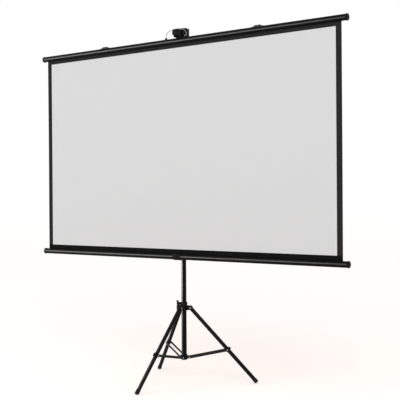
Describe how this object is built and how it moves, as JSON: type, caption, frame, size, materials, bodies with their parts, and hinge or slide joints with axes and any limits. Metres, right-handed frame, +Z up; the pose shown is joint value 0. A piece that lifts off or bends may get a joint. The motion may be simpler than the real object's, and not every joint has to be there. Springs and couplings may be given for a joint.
{
  "type": "tripod projection screen",
  "caption": "Pull-up projection screen: black-bordered sheet between round bars, hung from a notched hook on a telescoping mast with folding tripod legs.",
  "frame": {"origin": "on the floor under the middle of the part's box", "axes": "+X along the bars to the viewer's right, +Y from the viewer to the back, +Z up"},
  "size_m": [2.364, 0.6995, 2.2075],
  "materials": {
    "sheet_white": "matt white coated projection cloth",
    "border_black": "matt black printed border",
    "bar_black": "satin black powder coat",
    "tube_black": "semi-gloss black powder coat",
    "strap_black": "black powder coat",
    "plastic_black": "moulded black plastic",
    "rubber_black": "matt black rubber",
    "bright_steel": "zinc plated",
    "wire_chrome": "bright wire",
    "roller_metal": "mill finish",
    "bush_brass": "turned"
  },
  "bodies": {
    "mast_lower": {"lower_mast_tube": "tube_black", "mast_foot_plug": "plastic_black", "lower_collar": "plastic_black", "collar_rivets": "bright_steel", "mast_clamp": "plastic_black", "casing_bracket": "plastic_black", "bracket_screws": "bright_steel", "casing_tube": "bar_black", "casing_cap_left": "plastic_black", "casing_cap_right": "plastic_black", "roller_bush": "bush_brass", "spring_shaft": "bright_steel", "spring_anchor": "bright_steel", "roller_spring": "bright_steel", "screen_sheet": "sheet_white", "mask_border": "border_black"},
    "roller_group": {"roller_tube": "roller_metal", "wound_sheet": "sheet_white", "roller_plug_right": "plastic_black", "roller_plug_left": "plastic_black"},
    "mast_upper": {"upper_mast_tube": "tube_black", "mast_end_plug": "plastic_black", "hook_head": "plastic_black", "head_screws": "bright_steel", "bail_wire": "wire_chrome", "bail_anchors": "plastic_black", "top_bar_tube": "bar_black", "top_cap_left": "plastic_black", "top_cap_right": "plastic_black", "top_spline": "plastic_black", "hanging_lug_left": "strap_black", "hanging_lug_right": "strap_black", "lug_rivets": "bright_steel"},
    "hub_group": {"hub": "plastic_black", "hub_rivets": "bright_steel"},
    "hub_knob_group": {"hub_knob": "plastic_black", "hub_knob_stud": "bright_steel"},
    "mast_knob_group": {"mast_knob": "plastic_black", "mast_knob_stud": "bright_steel"},
    "leg_front": {"leg_tube_front": "tube_black", "leg_cap_front": "plastic_black", "leg_foot_front": "rubber_black", "brace_clip_front": "plastic_black"},
    "brace_front": {"brace_straps_front": "strap_black", "brace_rivets_front": "bright_steel"},
    "leg_right": {"leg_tube_right": "tube_black", "leg_cap_right": "plastic_black", "leg_foot_right": "rubber_black", "brace_clip_right": "plastic_black"},
    "brace_right": {"brace_straps_right": "strap_black", "brace_rivets_right": "bright_steel"},
    "leg_left": {"leg_tube_left": "tube_black", "leg_cap_left": "plastic_black", "leg_foot_left": "rubber_black", "brace_clip_left": "plastic_black"},
    "brace_left": {"brace_straps_left": "strap_black", "brace_rivets_left": "bright_steel"}
  },
  "joints": [
    {"name": "mast_slide", "type": "slide", "parent": "mast_lower", "child": "mast_upper", "axis": [0, 0, 1], "range_m": [-0.86, 0], "deforming": ["screen_sheet", "mask_border"]},
    {"name": "roller_spin", "type": "hinge", "parent": "mast_lower", "child": "roller_group", "pos_m": [0, 0.05496, 0.7835], "axis": [1, 0, 0], "range_deg": [0, 4142.7]},
    {"name": "hub_slide", "type": "slide", "parent": "mast_lower", "child": "hub_group", "axis": [0, 0, 1], "range_m": [0, 0.28418]},
    {"name": "hub_knob_turn", "type": "hinge", "parent": "hub_group", "child": "hub_knob_group", "pos_m": [0, 0.11296, 0.48842], "axis": [-0.866, -0.5, 0], "range_deg": [0, 180]},
    {"name": "mast_knob_turn", "type": "hinge", "parent": "mast_lower", "child": "mast_knob_group", "pos_m": [0, 0.11296, 1.162], "axis": [0, 1, 0], "range_deg": [0, 180]},
    {"name": "leg_front_fold", "type": "hinge", "parent": "hub_group", "child": "leg_front", "pos_m": [0, 0.07196, 0.46242], "axis": [1, 0, 0], "range_deg": [0, 42.01]},
    {"name": "brace_front_fold", "type": "hinge", "parent": "mast_lower", "child": "brace_front", "pos_m": [0, 0.07896, 0.15555], "axis": [-1, 0, 0], "range_deg": [0, 76.79]},
    {"name": "leg_right_fold", "type": "hinge", "parent": "hub_group", "child": "leg_right", "pos_m": [0.03551, 0.13346, 0.46242], "axis": [-0.5, 0.866, 0], "range_deg": [0, 42.01]},
    {"name": "brace_right_fold", "type": "hinge", "parent": "mast_lower", "child": "brace_right", "pos_m": [0.02944, 0.12996, 0.15555], "axis": [0.5, -0.866, 0], "range_deg": [0, 76.79]},
    {"name": "leg_left_fold", "type": "hinge", "parent": "hub_group", "child": "leg_left", "pos_m": [-0.03551, 0.13346, 0.46242], "axis": [-0.5, -0.866, 0], "range_deg": [0, 42.01]},
    {"name": "brace_left_fold", "type": "hinge", "parent": "mast_lower", "child": "brace_left", "pos_m": [-0.02944, 0.12996, 0.15555], "axis": [0.5, 0.866, 0], "range_deg": [0, 76.79]}
  ],
  "couplings": [
    {"joint": "roller_spin", "follows": "mast_slide", "rad_per_m": -84.034},
    {"joint": "leg_front_fold", "follows": "hub_slide", "rad_per_m": 2.5795},
    {"joint": "brace_front_fold", "follows": "hub_slide", "rad_per_m": 4.7155},
    {"joint": "leg_right_fold", "follows": "hub_slide", "rad_per_m": 2.5795},
    {"joint": "brace_right_fold", "follows": "hub_slide", "rad_per_m": 4.7155},
    {"joint": "leg_left_fold", "follows": "hub_slide", "rad_per_m": 2.5795},
    {"joint": "brace_left_fold", "follows": "hub_slide", "rad_per_m": 4.7155}
  ]
}
